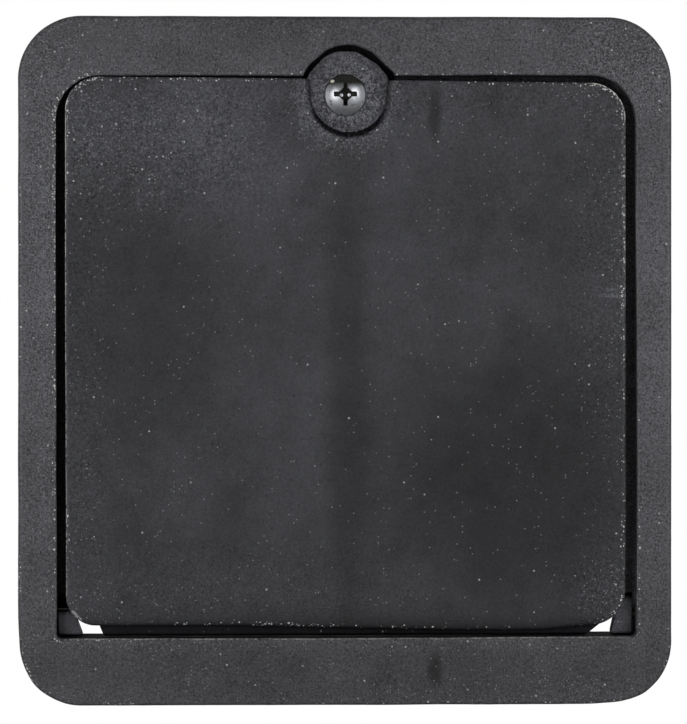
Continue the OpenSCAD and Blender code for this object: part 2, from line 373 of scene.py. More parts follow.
def frame_warp(x, z):
    """The leans, bends and roughness of the frame's outlines as it was cast."""
    inner_left = smooth(-108, -102, x) * smooth(-97, -100.5, x)
    inner_right = smooth(97, 100.5, x) * smooth(108, 103, x)
    dx = 0.35 * smooth(60, -80, z) * inner_left
    dx += inner_right * (0.6 * smooth(80, -15, z) - 0.2 * smooth(-55, -85, z))
    dx += 0.5 * smooth(-88, -100, z) * smooth(-115, -106, z) * smooth(-104, -110, x)
    dx -= 0.35 * smooth(94, 104, z) * smooth(120, 112, z) * smooth(92, 106, x)
    dz = 0.35 * smooth(10, 95, x) * smooth(-94, -96.5, z) * smooth(-104, -99, z)
    dz += 0.42 * smooth(5, 60, x) * smooth(85, 97, z) * smooth(106, 101, z)
    dz += 0.5 * smooth(84, 95, x) * smooth(108, 99, x) * smooth(-108, -116, z)
    dz -= 0.0009 * z * smooth(20, -110, x)
    return (x + dx + 0.12 * rough(x, z, 22, 11.0) + 0.04 * rough(x, z, 4, 12.0),
            z + dz + 0.12 * rough(x, z, 22, 13.0) + 0.04 * rough(x, z, 4, 14.0))


iron_frame = casting(
    "frame_casting",
    [(outer, (0, -0.15, -0.5, -1.0, -1.7)), (opening, (0, 0.12, 0.4, 0.9, 1.7, COLLAR_WALL, 4.1, 4.6)),
     (notch, (0, 0.12, 0.4, 0.9, 1.7)), (bulge, (0, -0.4, -0.9)), (ledge_in, (0,)), (ledge_foot, (0,)),
     (pad_in, (0,)), (pad_top, (0,)), (thread_hole, (0,))],
    1.3, 2.6, FRAME_LEVELS,
    [lambda x, z: (outer.far(x, z) < 0) & (in_opening(x, z) > 0),
     lambda x, z: is_collar(x, z) | (is_ledge(x, z) & (notch.far(x, z) > 0)),
     lambda x, z: is_collar(x, z) | (is_ledge(x, z) & (notch.far(x, z) > 0)) | is_lug(x, z),
     lambda x, z: is_collar(x, z) | is_lug(x, z),
     is_collar,
     lambda x, z: is_collar(x, z) | is_pad(x, z),
     is_collar],
    frame_shift, frame_warp, lambda x, z: 0.45 * smooth(-93, -96.5, z) * smooth(101.5, 100, np.abs(x)))
for side in (-1, 1):
    combine(iron_frame, bar_x("bore", FRAME_BORE_R, side * 99, side * 109), "DIFFERENCE")

# Door
plate = Box(-97.8, 97.95, -92.5, 97.95, (10.6, 12, 12.5, 11.5))
tab = Notch(*BOSS, 15.5, ((-0.743, 0.669, 15.1), (0.0, 1.0, 15.05), (0.5, 0.866, 14.35), (0.766, 0.643, 14.6),
                          (0.94, 0.342, 14.75)))
tab_hole = Disc(0, SCREW_Z, 4.4)


class Recess(Disc):
    """Round below its centre, with sides that open a little towards the door's top edge."""

    def far(self, x, z):
        dx, dz = np.abs(x - self.c[0]), z - self.c[1]
        return np.where(dz < 0, np.hypot(dx, dz), dx - 0.09 * dz) - self.r

    def loop(self, grow, step):
        r = self.r + grow
        n = int(math.pi * r / step)
        out = [(self.c[0] - r * math.cos(math.pi * i / n), self.c[1] - r * math.sin(math.pi * i / n))
               for i in range(n + 1)]
        return fill(out + [(self.c[0] + r + 0.72, self.c[1] + 8), (self.c[0] - r - 0.72, self.c[1] + 8)], step)


recess = Recess(BOSS[0] - 0.1, BOSS[1], 12.9)


def door_shift(k, x, z):
    """The door's swells, rolled foot, rounded edges and recess, level by level from the face back."""
    swell = 0.14 * rough(x, z, 42, 23.1) + 0.05 * rough(x, z, 11, 27.7) + 0.025 * rough(x, z, 3.4, 21.3)
    inside = -plate.far(x, z)
    if k == 0:
        low = smooth(-60, -90, z)
        wide = 3.6 + 3.6 * smooth(-20, 75, x)
        # the foot's face lies back, so that the open door clears the sill
        dip = (0.8 + 0.3 * smooth(0, 90, x)) * smooth(-50, -76, z)
        roll = rounding(z + 92.5, wide, 1.75) * low
        soft_r = (1.0 + 0.2 * rough(x, z, 17, 31.0)) * (1 - 0.5 * smooth(86, 92, z))
        edge = rounding(inside, soft_r) * (1 - low) + rounding(inside, 1.0) * low
        sunk = RECESS_DEPTH * np.clip(1 - recess.far(x, z) / RECESS_WALL, 0, 1) ** 1.4
        soft = 0.25 * (1 - smooth(2.4, 7.0, recess.far(x, z)))
        face = np.minimum(swell + dip + np.maximum(roll, edge) + soft, FACE_LIMIT)
        wall = np.minimum(sunk + edge + swell * (1 - sunk / RECESS_DEPTH), RECESS_DEPTH)
        return np.where(sunk < 0.01, face, wall)
    if k == 1:
        return swell * 0.0
    if k == 2:
        return swell * 0.5 - rounding(inside, 0.7) * (inside > 0)
    return -rounding(-tab.far(x, z), 0.6)


def door_warp(x, z):
    """The leans and roughness of the door's outlines as it was cast."""
    high, low = smooth(20, 98, z), smooth(-40, -93, z)
    right = smooth(-70, 95, x)
    sag = -0.15 + 1.9 * smooth(-60, 60, x) - 1.75 * smooth(64, 88, x)
    dz = high * (0.8 - 1.5 * right) - low * sag
    dx = 0.3 * smooth(20, -60, z) * smooth(-60, -95, x)
    return (x + dx + 0.1 * rough(x, z, 24, 41.0) + 0.035 * rough(x, z, 3.5, 42.0),
            z + dz + 0.1 * rough(x, z, 24, 43.0) + 0.035 * rough(x, z, 3.5, 44.0))


iron_door = casting(
    "door_casting",
    [(plate, (0, -0.1, -0.35, -0.7, -1.2, -2.2, -3.4, -5.0)), (tab, (0, -0.6)), (tab_hole, (0,)),
     (recess, (0, 0.3, 0.65, 1.05, 1.5, 2.1, RECESS_WALL))],
    1.2, 1.9, [DOOR_Y[0], TAB_Y[0], DOOR_Y[1], TAB_Y[1]],
    [lambda x, z: (plate.far(x, z) < 0) & (recess.far(x, z) > 0),
     lambda x, z: ((plate.far(x, z) < 0) | (tab.far(x, z) < 0)) & (tab_hole.far(x, z) > 0),
     lambda x, z: (tab.far(x, z) < 0) & (tab_hole.far(x, z) > 0)],
    door_shift, door_warp)


def foot(reach, front, top):
    """The foot's section: a flat face in front, round below, up to a top above the hinge."""
    a0 = math.acos((HINGE[0] - front) / SWEEP_R)
    a1 = math.pi - math.acos(min(1, reach / SWEEP_R))
    turns = [a0 + (a1 - a0) * i / 16 for i in range(17)]
    arc = [(HINGE[0] - SWEEP_R * math.cos(t), HINGE[1] - SWEEP_R * math.sin(t)) for t in turns]
    head = HINGE[1] + top
    back = [(HINGE[0] + reach, min(head, HINGE[1] + 1.25))] + ([(1.0, head)] if head > HINGE[1] + 2 else [])
    return arc + back + [(front, head)]


for name, section, places in (
        ("rib", [(-0.8, -90.15), (4.0, -90.15), (4.0, -82.15), (-0.8, -82.15)], [(-97.0, -97.0), (97.3, 97.3)]),
        ("apron", foot(1.7, -0.75, 0.1), [(-87.6, -84.3), (-60, -60), (60, 60), (94.0, 84.2)]),
        ("ear", foot(4.5, -0.85, 1.25), [(-100.3, -100.3), (-94.9, -91.5)]),
        ("ear", foot(4.5, -0.85, 6.1), [(96.2, 93.3), (100.7, 100.7)])):
    combine(iron_door, run_x(name, section, places, 0.5), "UNION")
for side in (-1, 1):
    combine(iron_door, bar_x("bore", DOOR_BORE_R, side * 91, side * 102), "DIFFERENCE")


# Latch screw
def screw_mesh():
    """Round head with a cross recess, and a threaded shank, on the axis X = 0."""
    head_y, head_r, head_h = TAB_Y[0] - 0.05, 7.35, 3.7
    dome, flank = 8.9, 5.6
    slope = flank / math.sqrt(dome * dome - flank * flank)
    verts, faces = [], []
    rings, sides = 60, 128

    def crossing(px, pz):
        """How far a point of the face lies outside the cross."""
        a, b = abs(px), abs(pz)
        arm = min(max(a - 3.98, b - 0.74), max(b - 3.98, a - 0.74))
        return min(arm, (a + b) * DIAGONAL - 2.1)

    for i in range(rings + 1):
        r = head_r * min(1, i / (rings - 1))
        for j in range(sides):
            t = 2 * math.pi * j / sides
            px, pz = r * math.cos(t), r * math.sin(t)
            inner = min(r, flank)
            h = head_h - dome + math.sqrt(dome * dome - inner * inner) - (r - inner) * slope
            h -= 0.3 * float(smooth(head_r - 0.35, head_r, r))
            d = crossing(px, pz - CROSS_UP)
            if d < 0.1:
                floor = 0.5 + 1.5 * (r / 3.95) ** 1.5
                glint = math.hypot((abs(px) - 1.35) / 0.75, (pz - 0.1) / 0.6)
                floor = max(floor, 0.85 + 0.72 * (abs(px) - 1.3)) if glint < 1 else floor
                h += (floor - h) * float(smooth(0.1, -0.22, d))
            verts.append((px + HEAD_X, head_y - (h if i < rings else 0), SCREW_Z + pz))
    for i in range(rings):
        for j in range(sides):
            k = (j + 1) % sides
            faces.append([i * sides + j, i * sides + k, (i + 1) * sides + k, (i + 1) * sides + j])
    pitch, root, crest, end = 1.411, 3.12, 3.92, 12.7
    steps = 110
    for i in range(-2, steps + 1):
        along = max(0, end * i / steps)
        for j in range(sides):
            t = 2 * math.pi * j / sides
            wave = abs(((along / pitch - j / sides) % 1) * 2 - 1)
            r = root + (crest - root) * float(smooth(0.12, 0.88, wave)) if i > 0 else 3.9
            r = head_r - 0.25 if i == -2 else r
            r = r * (1 - 0.35 * float(smooth(end - 1.3, end, along)))
            verts.append((r * math.cos(t), head_y + along, SCREW_Z + r * math.sin(t)))
    first = rings * sides
    for i in range(steps + 3):
        for j in range(sides):
            k = (j + 1) % sides
            faces.append([first + j, first + k, first + sides + k, first + sides + j])
        first += sides
    faces.append([first + j for j in range(sides)])
    piece = solid_of("latch_screw_turned", verts, faces)
    mend(piece.data, 1e-6)
    return piece


screw = screw_mesh()

for piece, angle in ((iron_frame, 42), (iron_door, 42), (screw, 50)):
    shade(piece, angle)
mark_edges(iron_frame, in_opening, frame_warp, -2.5)
mark_edges(iron_frame, outer.far, frame_warp, 99, "rim")
mark_edges(iron_door, plate.far, door_warp, -99, "rim")
mark_edges(iron_door, plate.far, door_warp, -3.0)


# Materials
class Paint:
    """A material's node tree, with positions in millimetres in the object's own frame."""

    def __init__(self, name):
        self.m = bpy.data.materials.new(name)
        self.m.use_nodes = True
        self.t = self.m.node_tree
        self.bsdf = self.t.nodes["Principled BSDF"]
        where = self.t.nodes.new("ShaderNodeTexCoord")
        self.p = self.vec("SCALE", where.outputs["Object"], scale=1000)

    def link(self, value, socket):
        """Puts a number or a colour on a socket, or joins a node's output to it."""
        if isinstance(value, (int, float, tuple)):
            socket.default_value = value
        elif value is not None:
            self.t.links.new(value, socket)

    def vec(self, op, a, b=None, scale=None):
        n = self.t.nodes.new("ShaderNodeVectorMath")
        n.operation = op
        self.link(a, n.inputs[0])
        if b is not None:
            self.link(b, n.inputs[1])
        if scale is not None:
            n.inputs["Scale"].default_value = scale
        return n.outputs["Value"] if op in ("LENGTH", "DISTANCE", "DOT_PRODUCT") else n.outputs["Vector"]

    def math(self, op, a, b=None, c=None):
        n = self.t.nodes.new("ShaderNodeMath")
        n.operation = op
        for value, socket in zip((a, b, c), n.inputs):
            self.link(value, socket)
        return n.outputs[0]

    def times(self, a, b):
        return self.math("MULTIPLY", a, b)

    def parts(self, v=None):
        """X, Y and Z of a vector, or of the position."""
        n = self.t.nodes.new("ShaderNodeSeparateXYZ")
        self.link(self.p if v is None else v, n.inputs[0])
        return n.outputs["X"], n.outputs["Y"], n.outputs["Z"]

    def ramp(self, value, a, b, to_a=0.0, to_b=1.0):
        n = self.t.nodes.new("ShaderNodeMapRange")
        n.interpolation_type = "SMOOTHSTEP"
        self.link(value, n.inputs["Value"])
        for key, v in (("From Min", a), ("From Max", b), ("To Min", to_a), ("To Max", to_b)):
            self.link(v, n.inputs[key])
        return n.outputs["Result"]

    def noise(self, size, detail, rough_by, off=0.0):
        n = self.t.nodes.new("ShaderNodeTexNoise")
        self.link(self.vec("ADD", self.p, (off, off * 1.7, -off)), n.inputs["Vector"])
        n.inputs["Scale"].default_value = 1 / size
        n.inputs["Detail"].default_value = detail
        n.inputs["Roughness"].default_value = rough_by
        return n.outputs["Fac"]

    def cells(self, size, off):
        """(distance to the nearest of scattered points in millimetres, that point's own random value)"""
        n = self.t.nodes.new("ShaderNodeTexVoronoi")
        self.link(self.vec("ADD", self.p, (off, -off, off * 0.6)), n.inputs["Vector"])
        n.inputs["Scale"].default_value = 1 / size
        split = self.t.nodes.new("ShaderNodeSeparateColor")
        self.link(n.outputs["Color"], split.inputs[0])
        return self.times(n.outputs["Distance"], size), split.outputs[0]

    def specks(self, size, radius, share, off):
        """Scattered spots of a radius; share is the share of the points that have one."""
        far, value = self.cells(size, off)
        near = self.ramp(far, radius, radius * 0.45)
        return self.times(near, self.math("LESS_THAN", value, share))

    def spot(self, x, z, rx, rz, soft=0.6, y=None, ry=6.0):
        """1 inside an ellipse that is centred on X and Z, falling to 0 outside it."""
        d = self.vec("SUBTRACT", self.p, (x, -6.0 if y is None else y, z))
        d = self.vec("LENGTH", self.vec("DIVIDE", d, (rx, ry, rz)))
        return self.ramp(d, 1.0 + soft, 1.0 - soft)

    def edge(self, name="edge"):
        """The distance from an outline that the mesh keeps, in millimetres."""
        n = self.t.nodes.new("ShaderNodeAttribute")
        n.attribute_name = name
        return n.outputs["Fac"]

    def total(self, values):
        out = values[0]
        for v in values[1:]:
            out = self.math("ADD", out, v)
        return out

    def colour(self, fac, a, b):
        n = self.t.nodes.new("ShaderNodeMix")
        n.data_type = "RGBA"
        self.link(fac, n.inputs["Factor"])
        self.link(a + (1,) if isinstance(a, tuple) else a, n.inputs["A"])
        self.link(b + (1,) if isinstance(b, tuple) else b, n.inputs["B"])
        return n.outputs["Result"]

    def bright(self, colour, fac):
        n = self.t.nodes.new("ShaderNodeHueSaturation")
        self.link(colour, n.inputs["Color"])
        self.link(fac, n.inputs["Value"])
        return n.outputs["Color"]

    def bump(self, height, distance):
        n = self.t.nodes.new("ShaderNodeBump")
        n.inputs["Distance"].default_value = distance * MM
        n.inputs["Strength"].default_value = 1.0
        self.link(height, n.inputs["Height"])
        self.link(n.outputs["Normal"], self.bsdf.inputs["Normal"])


def iron(name, tone, tint, zones, gritty, wear_and_highlight_mask, dust_and_glint_places, soot_and_shade_mask, seed):
    """Worn satin black paint on sand-cast iron.

    zones are (x, z, rx, rz, gain) patches that are lighter or darker, some of them tone and some painted light and
    shade, gritty is the grain's strength and the (x, z, rx, rz, gain) places where it is stronger,
    wear_and_highlight_mask a mask of metal worn bare and of painted edge highlights, dust_and_glint_places the
    places where pale specks of dust and painted glints gather, and soot_and_shade_mask a mask of painted shade,
    with some soot, behind the faces."""
    p = Paint(name)
    clouds = p.noise(30, 3, 0.5, off=seed)
    blotch = p.noise(6.5, 3, 0.55, off=seed + 3)
    grain = p.noise(1.3, 2, 0.65, off=seed + 5)
    fine = p.noise(0.62, 1, 0.6, off=seed + 9)
    grit = p.total([gritty[0]] + [p.times(p.spot(*g[:4]), g[4]) for g in gritty[1]])
    sand = p.total([p.times(p.math("SUBTRACT", grain, 0.5), 1.9),
                    p.times(p.math("SUBTRACT", fine, 0.5), 3.6)])
    value = p.total([
        p.ramp(clouds, 0.3, 0.7, 0.88, 1.12),
        p.times(p.math("SUBTRACT", blotch, 0.5), 0.42),
        p.times(sand, grit)])
    value = p.math("MAXIMUM", value, 0.25)
    # each zone lightens or darkens the colour: tone patches, and painted light and shade
    for x, z, rx, rz, gain in zones:
        value = p.times(value, p.math("MULTIPLY_ADD", p.spot(x, z, rx, rz), gain, 1.0))
    colour = p.bright(p.colour(clouds, tone, tint), value)
    # pale specks: dust, and painted glints of the sand grain
    dust_and_glints = p.total([p.ramp(blotch, 0.5, 0.72)] + [p.spot(*d) for d in dust_and_glint_places])
    share = p.times(p.math("MULTIPLY_ADD", dust_and_glints, 0.16, 0.05), grit)
    small = p.specks(0.95, 0.34, p.times(share, 1.5), seed + 20)
    large = p.specks(2.4, 0.46, share, seed + 33)
    pits = p.specks(1.9, 0.55, p.times(grit, 0.14), seed + 41)
    colour = p.colour(p.times(pits, 0.7), colour, (0.010, 0.010, 0.011))
    colour = p.colour(p.times(small, 0.8), colour, (0.17, 0.17, 0.175))
    colour = p.colour(p.times(large, 0.85), colour, (0.34, 0.34, 0.34))
    # chips of bare metal, and thin pale lines that are partly painted highlights along the lit edges
    dots, lines = wear_and_highlight_mask(p)
    chips = p.total([p.specks(0.8, 0.35, dots, seed + 60),
                     p.specks(1.4, 0.5, p.times(dots, 0.5), seed + 67)])
    bare_and_highlit = p.total([chips, p.times(lines, p.ramp(p.noise(1.1, 2, 0.7, off=seed + 51), 0.36, 0.60))])
    bare_and_highlit = p.math("MINIMUM", bare_and_highlit, 1.0)
    colour = p.colour(bare_and_highlit, colour, (0.46, 0.455, 0.445))
    # painted shade: the colour darkens with depth behind the faces, in the gaps and recesses (partly soot)
    soot_and_shade = soot_and_shade_mask(p)
    # painted shade: the outermost rounded rim of each casting is darkened, down to half at the very edge
    rim_shade = p.ramp(p.edge("rim"), 0.15, 1.0, 0.5, 1.0)
    colour = p.bright(colour, p.times(p.math("SUBTRACT", 1.0, soot_and_shade), rim_shade))
    soot_and_shade = p.math("MAXIMUM", soot_and_shade, 0.0)
    p.link(colour, p.bsdf.inputs["Base Color"])
    dull = p.total([p.ramp(blotch, 0.3, 0.7, 0.46, 0.60), p.times(bare_and_highlit, -0.1), p.times(soot_and_shade, 0.4)])
    p.link(dull, p.bsdf.inputs["Roughness"])
    p.link(p.ramp(soot_and_shade, 0.0, 0.7, 0.3, 0.02), p.bsdf.inputs["Specular IOR Level"])
    height = p.total([p.times(p.total([grain, p.times(fine, 0.5)]), grit),
                      p.times(blotch, 1.4), p.times(small, 0.5),
                      p.times(pits, -1.0)])
    p.bump(height, 0.16)
    return p.m


def wear(p, reach, zones, lines=(), arcs=(), rims=()):
    """Bare metal, and painted edge highlights, along the outline: (the share of it that shows as dots, within
    reach, in zones of (x, z, rx, rz, share); thin lines of (axis, place, low, high, width, gain) and round
    corners, of (x, z, rx, rz, width, gain), which are wear and painted edge highlights). rims are zones of dots on
    the outer rim."""
    edge = p.edge()
    near = p.ramp(edge, reach, reach * 0.35)
    dots = p.total([p.times(p.times(near, p.spot(*z[:4], 0.35)), z[4]) for z in zones])
    for z in rims:
        near = p.ramp(p.edge("rim"), 1.5, 0.7)
        dots = p.math("ADD", dots, p.times(p.times(near, p.spot(*z[:4], 0.35)), z[4]))
    x_out, _, z_out = p.parts()
    out = []
    for axis, where, low, high, width, gain in lines:
        across, along = (x_out, z_out) if axis == "x" else (z_out, x_out)
        side = p.ramp(p.math("ABSOLUTE", p.math("SUBTRACT", across, where)), 2.6, 1.6)
        part = p.times(p.ramp(along, low - 5, low + 5), p.ramp(along, high + 5, high - 5))
        line = p.times(p.times(side, part), p.ramp(edge, width, width * 0.5))
        out.append(p.times(line, gain))
    for x, z, rx, rz, width, gain in arcs:
        line = p.times(p.spot(x, z, rx, rz, 0.2), p.ramp(edge, width, width * 0.5))
        out.append(p.times(line, gain))
    return dots, p.total(out)


# chips are wear; the thin edge lines and corners are wear and painted edge highlights
def door_wear_and_highlights(p):
    return wear(p, 1.9, (
        (-92, 95, 9, 8, 0.75), (-98, 78, 2, 22, 0.45), (94, 93, 9, 9, 0.75), (98, 60, 3, 26, 0.4),
        (92, -86, 9, 9, 0.6), (97.5, -60, 3, 16, 0.35), (96.5, 23, 3.5, 4.5, 0.8), (-97.5, -60, 3, 8, 0.25),
        (-60, 98, 36, 3, 0.35), (70, 97, 30, 3, 0.35), (0, -92.5, 80, 2.2, 0.16), (-20, -92.2, 14, 2, 0.4),
        (97.5, 0, 2.5, 60, 0.25), (14.5, 90, 3, 10, 0.5)), (
        ("x", -97.8, 0, 92, 0.45, 0.85), ("x", -97.5, -84, 0, 0.45, 0.6), ("x", 98.0, 20, 86, 0.40, 0.40),
        ("x", 98.0, -84, 20, 0.36, 0.20)), (
        (92.5, 91.5, 9, 9, 0.55, 0.95), (-94.5, -89.5, 2.6, 2.6, 1.6, 0.55)))


# chips are wear; the thin edge lines are wear and painted edge highlights
def frame_wear_and_highlights(p):
    return wear(p, 1.7, (
        (-97, 97, 11, 10, 0.6), (-102, 75, 4, 26, 0.55), (-90, -98, 16, 3, 0.3), (103, -60, 2.5, 40, 0.2),
        (20, 100.3, 70, 3.0, 0.16), (-102, -20, 4, 70, 0.30)), (
        ("z", -97.2, -94, 96, 0.55, 0.50), ("x", 102.3, -86, 60, 0.30, 0.30)), (), (
        (-108.5, -110, 7, 8, 0.75), (-114, -77, 2, 6, 0.6), (-80, -118.5, 5, 2.5, 0.5), (40, -119, 60, 2.5, 0.12),
        (110, -100, 6, 12, 0.12), (-112, 40, 3, 60, 0.06)))


def behind(p, face, deep, amount):
    """0 at a face's Y, rising to an amount at a depth."""
    return p.ramp(p.parts()[1], face, deep, 0.0, amount)


def frame_soot_and_shade(p):
    """Painted shade, with some soot, that darkens with depth behind the face, on the sides and in the opening;
    less on the right gap's wall, and less on the back, outside the opening.
    """
    x, _, z = p.parts()
    deep = behind(p, -5.2, -2.2, 0.74)
    right = p.times(p.ramp(x, 90, 98), p.ramp(x, 110, 106))
    tall = p.times(p.math("ABSOLUTE", p.math("SUBTRACT", z, 1.3)), 1.033)
    outside = p.ramp(p.math("MAXIMUM", p.math("ABSOLUTE", x), tall), 103.2, 104.6)
    outside = p.times(outside, p.math("SUBTRACT", 1.0, p.spot(BOSS[0], BOSS[1], 21, 21, 0.05, ry=80)))
    back = p.times(outside, behind(p, -0.5, -0.1, 1.0))
    share = p.total([p.math("MULTIPLY_ADD", right, -0.5, 1.0), p.times(back, -0.65)])
    return p.times(deep, share)


def door_soot_and_shade(p):
    """Painted shade, with some soot, behind the face and in the corner round the tab's floor, and painted shade on
    the recess's sloped wall and low on the ears' inner sides; the ears' fronts and the tab's floor are left
    unshaded.
    """
    x, _, z = p.parts()
    deep = behind(p, -4.3, -1.6, 0.56)
    top = p.math("MULTIPLY_ADD", p.math("GREATER_THAN", x, 0.0), -4.6, z)
    ears = p.times(p.ramp(p.math("ABSOLUTE", x), 90.5, 92.5), p.ramp(top, -87.3, -89.6))
    ears = p.times(ears, behind(p, 0.3, -0.5, 1.0))
    floor = p.times(p.spot(BOSS[0], BOSS[1], 16, 16, 0.05, ry=80), behind(p, -0.6, -1.4, 1.0))
    unshaded = p.math("MAXIMUM", p.times(ears, 2.4), floor)
    soot_and_shade = p.times(deep, p.math("SUBTRACT", 1.0, unshaded))
    # painted shade on the ears' inner sides, low down
    inside = p.times(p.ramp(p.math("ABSOLUTE", x), 90.5, 92.5), behind(p, 0.0, 0.8, 0.3))
    soot_and_shade = p.math("ADD", soot_and_shade, p.times(inside, p.ramp(z, -84.0, -87.0)))
    low = p.ramp(z, BOSS[1] - 3, BOSS[1] - 12)
    # painted shade on the recess's sloped wall, strongest on its lower side
    wall = p.total([behind(p, -4.75, -3.4, 0.5), p.times(behind(p, -5.15, -4.35, 0.62), low)])
    wall = p.times(wall, behind(p, -2.42, -2.65, 1.0))
    wall = p.times(wall, p.spot(BOSS[0], BOSS[1], 18.5, 18.5, 0.05, ry=60))
    return p.math("MINIMUM", p.math("ADD", soot_and_shade, wall), 0.86)


# (x, z, rx, rz, gain): tone patches and painted light and shade: lighter at the top left, darker towards the
# bottom right and along the foot, and a tab floor painted lighter over its shade
DOOR_TONE_AND_LIGHT = (
    (0, 15, 6.5, 88, -0.27), (2, -40, 8, 60, -0.25), (-62, 72, 34, 26, 0.70), (-75, 30, 30, 60, -0.44),
    (31, 86, 2.0, 9, -0.62), (52, 90, 2.2, 7, -0.26), (61, 89, 1.8, 7, -0.16), (58, 11, 5, 6, -0.20),
    (55, -7, 7, 6, -0.20), (51, -62, 4, 30, -0.14), (46, -60, 3, 26, -0.10), (-75, -61, 6, 4, -0.22),
    (-38, -46, 7, 5, -0.14), (60, -40, 45, 45, -0.58), (85, 20, 22, 50, -0.10),
    (1, 92.7, 13.4, 14.4, 1.15), (-15.4, 90, 3, 9, 0.3), (-11, 80.5, 6, 5, 0.25),
    (92.5, 22.8, 4, 0.7, 1.0), (93.5, 24.8, 2.5, 0.5, 0.6), (0, -95, 110, 4.6, -0.5), (-60, -70, 50, 30, -0.12),
    (70, 68, 32, 34, -0.16), (-82, 80, 12, 12, 0.12), (0, -93, 110, 8, -0.30))
# (x, z, rx, rz, gain): tone patches and painted shade, darker along the bottom and the top
FRAME_TONE_AND_LIGHT = (
    (31, -108, 2.4, 5.5, -0.70), (-104.5, 0, 2.4, 90, 0.08), (0, -109, 130, 12, -0.30),
    (75, -109, 50, 12, -0.08), (110, 20, 8, 70, 0.08),
    (-108, 40, 8, 60, 0.05), (0, 113, 130, 12, -0.17), (-60, -110, 40, 10, -0.04))
DOOR_GRIT = (0.40, ((-66, 76, 34, 24, 0.45), (-92, 0, 8, 95, 0.35), (92, 30, 12, 80, 0.35), (0, 92, 15, 16, 1.6),
                    (-40, -82, 60, 12, 0.35), (90, -80, 12, 18, 0.6), (30, 92, 60, 8, 0.3), (0, 0, 60, 60, -0.10)))
FRAME_GRIT = (0.80, ((100, 108, 22, 20, 0.5), (0, -110, 120, 12, -0.1), (-104, 60, 8, 60, 0.25)))
# places where pale specks gather: dust, and painted glints
DOOR_DUST_AND_GLINTS = ((-70, 78, 32, 22), (-94, 90, 10, 14), (90, 92, 14, 8), (92, -84, 12, 12), (-90, -86, 10, 8),
             (0, 80, 18, 10), (96, 30, 4, 80), (14.2, 86, 2.4, 7), (1, 79, 9, 3))
FRAME_DUST_AND_GLINTS = ((-100, 98, 12, 14), (-105, 20, 5, 80), (105, 108, 16, 14), (-90, 115, 20, 8), (0, -98, 100, 3.5),
              (60, -116, 50, 6), (-113, -112, 6, 12))

door_iron = iron("door_iron_paint", (0.0290, 0.0292, 0.0340), (0.0350, 0.0353, 0.0404),
                 DOOR_TONE_AND_LIGHT, DOOR_GRIT, door_wear_and_highlights, DOOR_DUST_AND_GLINTS, door_soot_and_shade, 2.0)
frame_iron = iron("frame_iron_paint", (0.0515, 0.0510, 0.0568), (0.0612, 0.0607, 0.0675),
                  FRAME_TONE_AND_LIGHT, FRAME_GRIT, frame_wear_and_highlights, FRAME_DUST_AND_GLINTS, frame_soot_and_shade, 71.0)


def steel(name, colour, rough_low, rough_high, grime_and_shade, painted_highlights=()):
    """Dull metal with dirt and painted shade, and with painted highlights of (x, z, rx, rz, colour) on its face.
    """
    p = Paint(name)
    clouds, fine = p.noise(2.2, 3, 0.6), p.noise(0.45, 3, 0.6, off=4)
    # patchy dirt, plus the painted shade that grime_and_shade gives
    dirt_and_shade = p.math("MINIMUM", p.math("ADD", p.ramp(clouds, 0.55, 0.80, 0.0, 0.5), grime_and_shade(p)), 1.0)
    tone = p.colour(dirt_and_shade, p.bright(colour + (1,), p.ramp(fine, 0.3, 0.7, 0.85, 1.12)), (0.012, 0.0118, 0.0085))
    metal = p.ramp(dirt_and_shade, 0.6, 1.0, 1.0, 0.2)
    # painted highlight: a warm pale spot, not metallic, in place of a lamp's reflection
    for x, z, rx, rz, highlight_colour in painted_highlights:
        at = p.spot(x, z, rx, rz, 0.3, y=TAB_Y[0] - 2.2, ry=3.0)
        tone = p.colour(at, tone, highlight_colour)
        metal = p.times(metal, p.math("SUBTRACT", 1.0, at))
    p.link(tone, p.bsdf.inputs["Base Color"])
    p.link(metal, p.bsdf.inputs["Metallic"])
    p.bsdf.inputs["Specular IOR Level"].default_value = 0.15
    p.link(p.ramp(p.math("ADD", fine, dirt_and_shade), 0.3, 1.3, rough_low, rough_high), p.bsdf.inputs["Roughness"])
    p.bump(p.total([clouds, fine]), 0.012)
    return p.m


def screw_shade(p):
    """Painted shade in the cross recess, a painted shadow round the head's rim, and painted shade on its lower
    half and across its top.
    """
    d = p.vec("SUBTRACT", p.p, (HEAD_X, TAB_Y[0], SCREW_Z))
    x, _, z = p.parts(d)
    ax, az = p.math("ABSOLUTE", x), p.math("ABSOLUTE", p.math("SUBTRACT", z, CROSS_UP))
    arm = p.math("MINIMUM", p.math("MAXIMUM", p.math("SUBTRACT", ax, 3.93), p.math("SUBTRACT", az, 0.72)),
                 p.math("MAXIMUM", p.math("SUBTRACT", az, 3.93), p.math("SUBTRACT", ax, 0.72)))
    core = p.math("SUBTRACT", p.times(p.math("ADD", ax, az), DIAGONAL), 2.05)
    # painted shade: the cross recess is near black, except at the two glints
    cross_shade = p.ramp(p.math("MINIMUM", arm, core), 0.06, -0.10)
    glint = p.vec("SUBTRACT", p.vec("ABSOLUTE", d), (1.35, 0, 0.15))
    shine = p.ramp(p.vec("LENGTH", p.vec("DIVIDE", glint, (0.62, 9, 0.42))), 1.1, 0.8)
    # painted shadow where the head's rim meets the tab
    rim = p.ramp(p.vec("LENGTH", p.vec("MULTIPLY", d, (1, 0, 1))), 6.9, 7.2, 0.0, 0.85)
    # painted shade: darker down the lower half and across the top of the dome
    lower = p.ramp(z, 1.0, -6.5, 0.0, 0.55)
    brow = p.ramp(z, 2.3, 4.5, 0.0, 0.97)
    face = p.total([p.math("MAXIMUM", rim, lower), brow])
    return p.math("MAXIMUM", p.times(cross_shade, p.math("SUBTRACT", 1.0, shine)), face)


